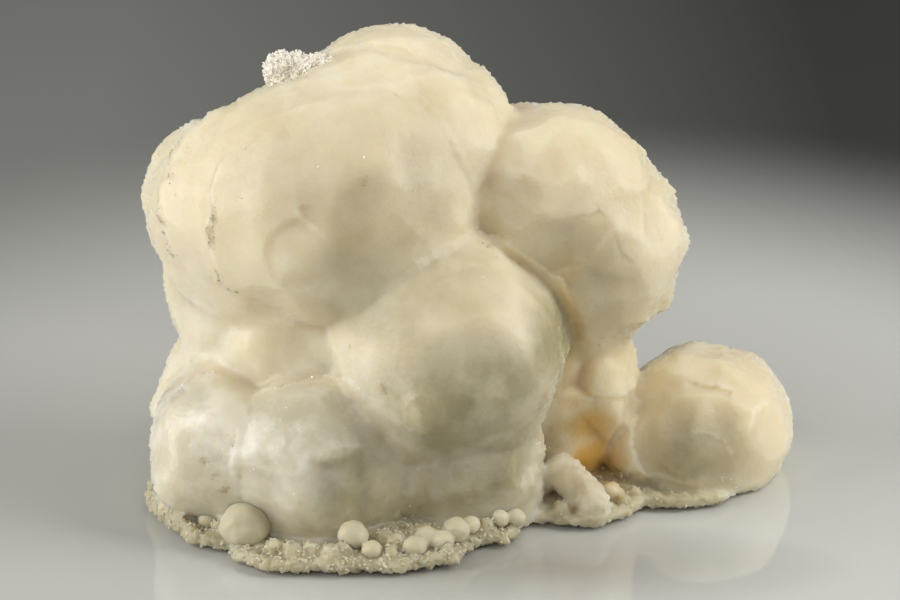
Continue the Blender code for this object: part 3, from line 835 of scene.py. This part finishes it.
def spotted(points, spots):
    """How strongly each point is marked by ovals in the picture, whose edges are bent by noise."""
    flat = in_view(points)
    for size, reach in ((5.0, 1.7), (1.8, 0.7)):
        flat = flat + reach * two_noises(points, size, 701)
    across, down = flat[:, 0] / FRAME_STEP + 450, 300 - flat[:, 1] / FRAME_STEP
    found = np.zeros(len(points))
    for x, y, wide, high, share in spots:
        place = ((across - x) / wide) ** 2 + ((down - y) / high) ** 2
        found = np.maximum(found, share * np.exp(-place ** 1.5))
    return found * ramp(-points[:, 1], -12.0, 2.0)


points = points_of(mass)
keep_number(mass, "clear_and_shade", spotted(points, CLEAR_AND_SHADE_SPOTS))
keep_number(mass, "cool", spotted(points, COOL_SPOTS))

# The amber painted shade is in the gap between the stem, the stub and the single ball, and not on the belly.
centre, half = BALLS["belly"]
off_belly = ramp(np.linalg.norm((points - np.array(centre)) / np.array(half), axis=1), 1.04, 1.12)
keep_number(mass, "gap_shade", spotted(points, GAP_SHADE_SPOTS) * off_belly * (1.0 - stored(mass, "stub")))
for name in ("clear_and_shade", "cool", "gap_shade"):
    print(name, "points", int((stored(mass, name) > 0.5).sum()))

# %% [markdown]
# ## Fewer triangles where nothing shows
# A wrapped skin has the same small step everywhere. Collapsing edges where the skin is plain keeps the
# torn edges sharp and takes the triangle count down. What is left is then roughened by a fine tooth, since
# the tips of the blades stand out on every side that shows edge-on.

# %% Thin out and roughen
MOST_TRIANGLES = 194000
TOOTH_STEP = 0.2
FRONT_TOOTH = 0.03
SIDE_TOOTH = 0.5


def thinned(thing, most):
    count = triangles(thing)
    if count > most:
        fewer = thing.modifiers.new("fewer", "DECIMATE")
        fewer.ratio = most / count
        settle(thing)
    print(thing.name, count, "to", triangles(thing))


def roughened(thing, seed):
    """Blade tips: a fine tooth, which is faint on the front of the balls because it is worn smooth there."""
    points = points_of(thing)
    normals = normals_of(thing)
    away = 1.0 - ramp(normals @ VIEW_BACK, 0.1, 0.5)
    tooth = hashed(np.round(points / TOOTH_STEP).astype(np.int64), seed) - 0.5
    tooth *= (FRONT_TOOTH + SIDE_TOOTH * away) * (points[:, 2] > 0.5)
    move_points(thing, points + normals * tooth[:, None])


thinned(mass, MOST_TRIANGLES)
roughened(mass, 91)

# %% [markdown]
# ## Pearls
# Small smooth balls sit on the rim of the crust like drops. They are waxy and have no scales, so each is a
# ball of few patches, and all of them are one piece.

# %% The pearls
parts = []
for number, (centre, radius) in enumerate(PEARLS):
    points, faces = ball_points(centre, (radius,) * 3, 300 + number, 4)
    centre = np.array(centre)
    away = points - centre
    smooth = away / np.linalg.norm(away, axis=1, keepdims=True) * radius
    away += smooth / radius * tilted_cells(points, 1.1, 77, 0.25, 0.1)[:, None]
    bumps = 1.0 + 0.08 * soft_noise(points, 1.8, 9) + 0.05 * soft_noise(points, 0.7, 10)
    parts.append((centre + 0.5 * away + 0.5 * smooth * bumps[:, None], faces))
pearls = wrapped(mesh_object("pearls", *together(parts)), 0.25, 2)
print("pearls", triangles(pearls), "triangles")

# %% [markdown]
# ## The white tuft
# On the top left ball stands a small fan of white blades. A few lumps give its body here, and thin blades
# are scattered over them further down.

# %% The body of the tuft
BODY_SHARE = 0.88  # of the tuft; the blades reach past it

parts = []
for number, (centre, half) in enumerate(TUFT):
    parts.append(ball_points(centre, tuple(BODY_SHARE * h for h in half), 400 + number, 3))
tuft = wrapped(mesh_object("tuft_body", *together(parts)), 0.3, 1)
points = points_of(tuft)
move_points(tuft, points + normals_of(tuft) * tilted_cells(points, 0.9, 501, 0.4, 0.5)[:, None])
print("tuft body", triangles(tuft), "triangles")

# %% [markdown]
# ## Stone that glows
# Thin blades let light in and scatter it, so the balls look lit from within and their shadows are soft. A
# subsurface shader does that. The colour is cream, cooler and greyer where the stone is clearer, darker
# where a shell has flaked off. Painted shade darkens it under the overhangs and on the belly's middle, amber
# painted shade lies in the creases and in the gap by the single ball, and torn edges get a painted highlight.

# %% Helpers for materials
def add_node(tree, kind, feeds=None, **settings):
    """A new node. Feeds are its inputs, by name or number: a value each, or what another node puts out."""
    made = tree.nodes.new(kind)
    for name, value in settings.items():
        setattr(made, name, value)
    for name, value in (feeds or {}).items():
        feed(tree, made.inputs[name], value)
    return made


def feed(tree, socket, value):
    if isinstance(value, bpy.types.NodeSocket):
        tree.links.new(value, socket)
    else:
        socket.default_value = value


class Paint:
    """A new material with its shader, and short ways to add the nodes that feed it."""

    def __init__(self, name):
        self.material = bpy.data.materials.new(name)
        self.material.use_nodes = True
        self.tree = self.material.node_tree
        self.tree.nodes.clear()
        self.shader = self.node("BsdfPrincipled")
        self.node("OutputMaterial", {"Surface": self.shader.outputs[0]})

    def node(self, kind, feeds=None, **settings):
        return add_node(self.tree, "ShaderNode" + kind, feeds, **settings)

    def set(self, **values):
        """Sets inputs of the shader."""
        for name, value in values.items():
            feed(self.tree, self.shader.inputs[name.replace("_", " ")], value)

    def glow(self, radius, scale):
        """Lets light in, to scatter under the surface."""
        self.set(Subsurface_Weight=0.85, Subsurface_Radius=radius, Subsurface_Scale=scale)

    def stored(self, name):
        return self.node("Attribute", attribute_name=name).outputs["Fac"]

    def mixed(self, share, a, b):
        """A colour between a and b. Each may be a colour or a socket, and share a number or a socket."""
        made = self.node("Mix", data_type="RGBA")
        pick = {s.identifier: s for s in made.inputs}
        feed(self.tree, pick["Factor_Float"], share)
        for key, value in (("A_Color", a), ("B_Color", b)):
            feed(self.tree, pick[key], (*value, 1.0) if isinstance(value, tuple) else value)
        return {s.identifier: s for s in made.outputs}["Result_Color"]

    def spread(self, value, low, high, to_low=0.0, to_high=1.0):
        """A number moved from one range to another."""
        feeds = {"Value": value, "From Min": low, "From Max": high, "To Min": to_low, "To Max": to_high}
        return self.node("MapRange", feeds).outputs[0]

    def place(self):
        return self.node("TexCoord").outputs["Object"]

    def noise(self, scale, detail=3.0, rough=0.55, stretch=None):
        where = self.place()
        if stretch:
            where = self.node("Mapping", {"Vector": where, "Scale": stretch}).outputs[0]
        feeds = {"Vector": where, "Scale": scale, "Detail": detail, "Roughness": rough}
        return self.node("TexNoise", feeds).outputs["Fac"]

    def marked(self, base, name, most, colour, low=0.0):
        """The base colour, moved towards another where the number stored by that name is high."""
        return self.mixed(self.spread(self.stored(name), low, 1.0, 0.0, most), base, colour)


def stone(name, scale, dark, light, roughness):
    """A material whose colour drifts between two colours."""
    paint = Paint(name)
    cloud = paint.spread(paint.noise(scale), 0.3, 0.7)
    paint.set(Base_Color=paint.mixed(cloud, dark, light), Roughness=roughness)
    return paint


# %% The skin's material
skin = Paint("gyrolite_skin")
cloud = skin.spread(skin.noise(70.0), 0.35, 0.65)
fine = skin.spread(skin.noise(800.0), 0.3, 0.7)
base = skin.mixed(cloud, (0.86, 0.78, 0.58), (0.92, 0.86, 0.69))

# Facets of slightly different tone, whose borders are bent by noise.
sway = skin.node("TexNoise", {"Vector": skin.place(), "Scale": 160.0, "Detail": 4.0}).outputs["Color"]
bend = skin.node("VectorMath", {0: sway, 1: (0.006, 0.006, 0.006), 2: skin.place()}, operation="MULTIPLY_ADD")
for scale, most in ((150.0, 0.26), (330.0, 0.18)):
    facet = skin.node("TexVoronoi", {"Vector": bend.outputs[0], "Scale": scale})
    tone = skin.node("SeparateColor", {"Color": facet.outputs["Color"]})
    base = skin.mixed(skin.spread(tone.outputs[0], 0.1, 0.9, 0.0, most), base, (0.72, 0.61, 0.38))
base = skin.mixed(skin.spread(skin.noise(38.0, 4.0, 0.6), 0.38, 0.62, 0.0, 0.3), base, (0.76, 0.64, 0.40))
fibre = skin.noise(700.0, 2.0, 0.5, (1.0, 1.0, 0.12))
base = skin.mixed(skin.spread(fibre, 0.35, 0.7, 0.0, 0.16), base, (0.74, 0.63, 0.42))

# Flaked shells, cool places and clear places with painted shade, then torn edges with a painted highlight,
# painted crease shade, marks, crust, stub and amber painted shade in the gap, each over what came before.
base = skin.marked(base, "flaked", 0.5, (0.68, 0.58, 0.38))
wisps = skin.spread(skin.noise(130.0, 6.0, 0.62), 0.42, 0.6)
speckle = skin.spread(skin.noise(260.0), 0.3, 0.7)
base = skin.marked(base, "cool", 0.85, skin.mixed(wisps, (0.68, 0.66, 0.55), (0.90, 0.89, 0.84)))
# Clearer stone is darker, and the same dark colour paints shade under the overhangs, on the belly's middle
# and in the band.
base = skin.marked(base, "clear_and_shade", 1.0, skin.mixed(wisps, (0.36, 0.32, 0.18), (0.50, 0.46, 0.31)))
# Torn edges: their paler colour together with a painted highlight.
base = skin.marked(base, "torn_edge_and_highlight", 0.4, (0.95, 0.88, 0.72))
# Amber painted shade in the creases between the balls.
base = skin.marked(base, "crease_shade", 0.4, (0.66, 0.52, 0.28), 0.2)
base = skin.marked(base, "marks", 0.7, (0.36, 0.28, 0.15))
base = skin.marked(base, "crust", 1.0, skin.mixed(speckle, (0.43, 0.375, 0.24), (0.59, 0.53, 0.37)))
base = skin.marked(base, "stub", 1.0, skin.mixed(speckle, (0.58, 0.525, 0.39), (0.76, 0.71, 0.57)))
# Amber painted shade in the gap by the single ball and in the band.
base = skin.marked(base, "gap_shade", 1.0, (0.64, 0.33, 0.01))
skin.set(Base_Color=base, Roughness=skin.spread(skin.stored("cool"), 0.0, 1.0, 0.46, 0.31))
skin.glow((1.0, 0.78, 0.5), 0.006)

flakes = skin.node("TexVoronoi", {"Vector": skin.place(), "Scale": 1500.0}).outputs["Distance"]
height = skin.node("Math", {0: fine, 1: flakes}, operation="ADD").outputs[0]
skin.set(Normal=skin.node("Bump", {"Height": height, "Strength": 0.35, "Distance": 0.0001}).outputs[0])
print("skin material", len(skin.tree.nodes), "nodes")

# %% The materials of the smaller pieces
sandy = stone("gyrolite_grains", 300.0, (0.55, 0.50, 0.35), (0.70, 0.66, 0.50), 0.3)
drop = stone("gyrolite_pearl", 180.0, (0.55, 0.51, 0.37), (0.64, 0.60, 0.45), 0.5)
drop.glow((1.0, 0.8, 0.5), 0.002)
white = stone("white_blades", 500.0, (0.95, 0.90, 0.80), (0.99, 0.97, 0.93), 0.4)
glint = stone("blade_edges", 300.0, (0.78, 0.68, 0.48), (0.90, 0.82, 0.65), 0.18)
crumb = stone("crumbs", 900.0, (0.30, 0.23, 0.12), (0.50, 0.42, 0.27), 0.5)
# Near-white chips paint the glints on the bright rims and the sparkles.
glint_chip = stone("glint_chips", 900.0, (0.90, 0.88, 0.82), (0.98, 0.97, 0.94), 0.2)
print(len(bpy.data.materials), "materials")

# %% [markdown]
# ## Scattered grains and blades
# Hundreds of grains line the crust, and thin blade edges stand out of the skin, which gives the balls
# their serrated outline. Geometry Nodes scatters one small shape over a surface: points are spread over
# the faces, a shape is put on each, and the copies are made real so that they are plain mesh.

# %% A scatter tree
SETTINGS = (
    ("Copies per square millimetre", "Float", 1.0), ("Smallest", "Float", 0.5), ("Largest", "Float", 1.0),
    ("Lean", "Float", 0.3), ("Seed", "Int", 1),
)


def scatter_tree(name, shape, paint):
    """Copies of a small shape over a surface, where the number called spread allows them."""
    tree = bpy.data.node_groups.new(name, "GeometryNodeTree")
    face = tree.interface
    face.new_socket("Surface", in_out="INPUT", socket_type="NodeSocketGeometry")
    made = {}
    for label, kind, value in SETTINGS:
        socket = face.new_socket(label, in_out="INPUT", socket_type="NodeSocket" + kind)
        socket.default_value = value
        made[label] = socket.identifier
    face.new_socket("Copies", in_out="OUTPUT", socket_type="NodeSocketGeometry")

    def node(kind, feeds=None, **settings):
        return add_node(tree, kind, feeds, **settings)

    # Points on the faces.
    given = node("NodeGroupInput").outputs
    allow = node("GeometryNodeInputNamedAttribute", {"Name": "spread"}, data_type="FLOAT")
    feeds = {0: given["Copies per square millimetre"], 1: allow.outputs["Attribute"]}
    dense = node("ShaderNodeMath", feeds, operation="MULTIPLY")
    spots = node("GeometryNodeDistributePointsOnFaces",
                 {"Mesh": given["Surface"], "Density": dense.outputs[0], "Seed": given["Seed"]})

    # A lean away from upright, a spin and a size for each point, all by chance.
    least, most = [
        node("ShaderNodeVectorMath", {0: (side, side, 0.0), "Scale": given["Lean"]}, operation="SCALE")
        for side in (-1.0, 1.0)
    ]
    chance = "FunctionNodeRandomValue"
    feeds = {"Min": least.outputs[0], "Max": most.outputs[0], "Seed": given["Seed"]}
    lean = node(chance, feeds, data_type="FLOAT_VECTOR")
    spin = node(chance, {"Max": (0.0, 0.0, 6.283)}, data_type="FLOAT_VECTOR")
    size = node(chance, {2: given["Smallest"], 3: given["Largest"], "Seed": given["Seed"]}, data_type="FLOAT")
    rotation = spots.outputs["Rotation"]
    for angles in (lean, spin):
        turn = node("FunctionNodeEulerToRotation", {0: angles.outputs[0]}).outputs[0]
        turned = node("FunctionNodeRotateRotation", {0: rotation, 1: turn}, rotation_space="LOCAL")
        rotation = turned.outputs[0]

    # A shape on each point, made real.
    copies = node("GeometryNodeInstanceOnPoints", {
        "Points": spots.outputs["Points"], "Instance": shape(node), "Rotation": rotation,
        "Scale": size.outputs[1]})
    real = node("GeometryNodeRealizeInstances", {0: copies.outputs[0]})
    coat = node("GeometryNodeSetMaterial", {0: real.outputs[0], "Material": paint.material})
    node("NodeGroupOutput", {0: coat.outputs[0]})
    return tree, made


def scattered(name, surface, share, shape, paint, density, sizes, lean, seed):
    """A new piece: small shapes over a surface. Share is one number a point of that surface."""
    tree, made = scatter_tree(name, shape, paint)
    thing = bpy.data.objects.new(name, surface.data.copy())
    bpy.context.scene.collection.objects.link(thing)
    keep_number(thing, "spread", share)
    grow = thing.modifiers.new("scatter", "NODES")
    grow.node_group = tree
    for (label, _, _), value in zip(SETTINGS, (density, *sizes, lean, seed)):
        grow[made[label]] = value
    settle(thing)
    print(name, triangles(thing), "triangles")
    return thing


def stretched(node, mesh, scale):
    return node("GeometryNodeTransform", {"Geometry": mesh, "Scale": scale}).outputs[0]


def grain_shape(node):
    ico = node("GeometryNodeMeshIcoSphere", {"Radius": 1.0, "Subdivisions": 1})
    return stretched(node, ico.outputs["Mesh"], (0.62, 0.8, 1.0))


def plate_shape(node):
    plate = node("GeometryNodeMeshCylinder", {"Vertices": 6, "Radius": 1.0, "Depth": 0.16})
    return stretched(node, plate.outputs["Mesh"], (1.0, 0.7, 1.0))


def blade_shape(node):
    return node("GeometryNodeMeshCube", {"Size": (0.5, 0.16, 1.1)}).outputs["Mesh"]


# %% Grains on the crust
points = points_of(mass)
share = ramp(points[:, 2], 0.5, 1.2) * ramp(normals_of(mass)[:, 2], -0.6, 0.2)
share *= stored(mass, "crust") * (1.0 - 0.85 * ramp(points[:, 0], 3.0, 9.0))
druse = scattered("druse", mass, share, grain_shape, sandy, 1.3, (0.12, 0.42), 1.2, 3)

# %% Blade edges on the skin
share = 0.45 + 0.55 * ramp(soft_noise(points, 6.0, 81), -0.2, 0.5)
share *= (1.0 - 0.75 * stored(mass, "flaked")) * (1.0 - 0.8 * stored(mass, "clear_and_shade"))
share *= ramp(points[:, 2], 1.5, 4.0)
scales = scattered("blade_edges", mass, share, plate_shape, glint, 0.012, (0.15, 0.38), 0.5, 5)

# %% Dark crumbs along the broken shell edges, and near-white chips that paint glints
crumbs = scattered("crumbs", mass, stored(mass, "marks"), grain_shape, crumb, 7.0, (0.05, 0.16), 1.0, 11)
glint_chips = scattered("glint_chips", mass, stored(mass, "glints"), plate_shape, glint_chip, 4.0, (0.08, 0.26), 0.9, 12)

# %% Blades of the tuft
share = ramp(points_of(tuft)[:, 2], 59.5, 60.5)
blades = scattered("tuft_blades", tuft, share, blade_shape, white, 6.0, (0.55, 1.25), 0.75, 7)

# %% [markdown]
# ## Sizes, materials and the frame
# Everything so far is in millimetres. It is brought to metres here, kept inside the solid's box, given its
# material and tied to the one body of the solid.

# %% Finish each piece
INSET = 0.00003
low = np.array(solid_box[0]) + INSET
high = np.array(solid_box[1]) - INSET
pieces = [(mass, skin), (pearls, drop), (tuft, white), (druse, sandy), (blades, white), (scales, glint),
          (crumbs, crumb), (glint_chips, glint_chip)]
total = 0
for thing, paint in pieces:
    move_points(thing, np.clip(points_of(thing) * MM, low, high))
    thing.data.materials.clear()
    thing.data.materials.append(paint.material)
    thing.data.polygons.foreach_set("use_smooth", [thing in (mass, pearls)] * len(thing.data.polygons))
    total += triangles(thing)
    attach(thing, "root")
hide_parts("gyrolite_cluster")
print("all pieces", total, "triangles")

# %% [markdown]
# ## Table and light
# The specimen stands on a pale glossy sheet that falls off into grey behind it. Two tall soft lights, one
# on each side, and a weaker one above and behind give the bright rims. The light in front is weak too, so
# the balls keep a darker middle.

# %% The table
bm = bmesh.new()
bmesh.ops.create_circle(bm, cap_ends=True, radius=3.0, segments=96)
mesh = bpy.data.meshes.new("table")
bm.to_mesh(mesh)
bm.free()
table = bpy.data.objects.new("table", mesh)
bpy.context.scene.collection.objects.link(table)
sheet = Paint("table")
place = sheet.place()


def distance_in(feeds):
    """How far each place on the table is from the middle of a shifted and stretched drawing of it."""
    there = sheet.node("Mapping", {"Vector": place, **feeds}).outputs[0]
    return sheet.node("VectorMath", {0: there}, operation="LENGTH").outputs["Value"]


# Pale near the specimen, dark behind and to the right, and a soft shade right under it.
far_off = distance_in({"Location": (-0.003, 0.0, 0.0)})
feeds = {"Value": far_off, "From Min": 0.085, "From Max": 0.175}
fall = sheet.node("MapRange", feeds, interpolation_type="SMOOTHSTEP")
across = sheet.spread(sheet.node("SeparateXYZ", {"Vector": place}).outputs[0], -0.07, 0.07)
near = sheet.mixed(across, (0.555, 0.565, 0.55), (0.665, 0.68, 0.665))
far = sheet.mixed(across, (0.25, 0.255, 0.245), (0.045, 0.045, 0.041))
under = sheet.spread(distance_in({"Location": (-0.25, 1.8, 0.0), "Scale": (25.0, 75.0, 0.0)}), 0.1, 1.15)
near = sheet.mixed(under, (0.37, 0.365, 0.335), near)
sheet.set(Base_Color=sheet.mixed(fall.outputs[0], near, far), Roughness=0.07, Specular_IOR_Level=0.6)
table.data.materials.append(sheet.material)
print("table", [round(v, 2) for v in table.dimensions], "metres")

# %% The lights
def soft_light(name, place, size, power, colour=(1.0, 0.97, 0.92)):
    lamp = bpy.data.lights.new(name, "AREA")
    lamp.shape = "RECTANGLE"
    lamp.size, lamp.size_y = size
    lamp.energy = power
    lamp.color = colour
    thing = bpy.data.objects.new(name, lamp)
    bpy.context.scene.collection.objects.link(thing)
    thing.location = place
    aim = Vector((0.0, 0.0, 0.03)) - Vector(place)
    thing.rotation_euler = aim.to_track_quat("-Z", "Y").to_euler()
    thing.visible_camera = False
    return thing


soft_light("left light", (-0.52, -0.12, 0.24), (0.35, 0.45), 2.6)
soft_light("right light", (0.52, -0.08, 0.34), (0.3, 0.5), 2.8)
soft_light("top light", (0.12, 0.2, 0.56), (0.5, 0.3), 0.8)
soft_light("front light", (-0.1, -0.5, 0.36), (0.5, 0.3), 1.0)

sky = bpy.data.worlds.new("room")
sky.use_nodes = True
sky.node_tree.nodes["Background"].inputs["Color"].default_value = (0.80, 0.82, 0.84, 1.0)
sky.node_tree.nodes["Background"].inputs["Strength"].default_value = 0.08
bpy.context.scene.world = sky
bpy.context.scene.view_settings.view_transform = "Standard"
print(len(bpy.data.lights), "lights")
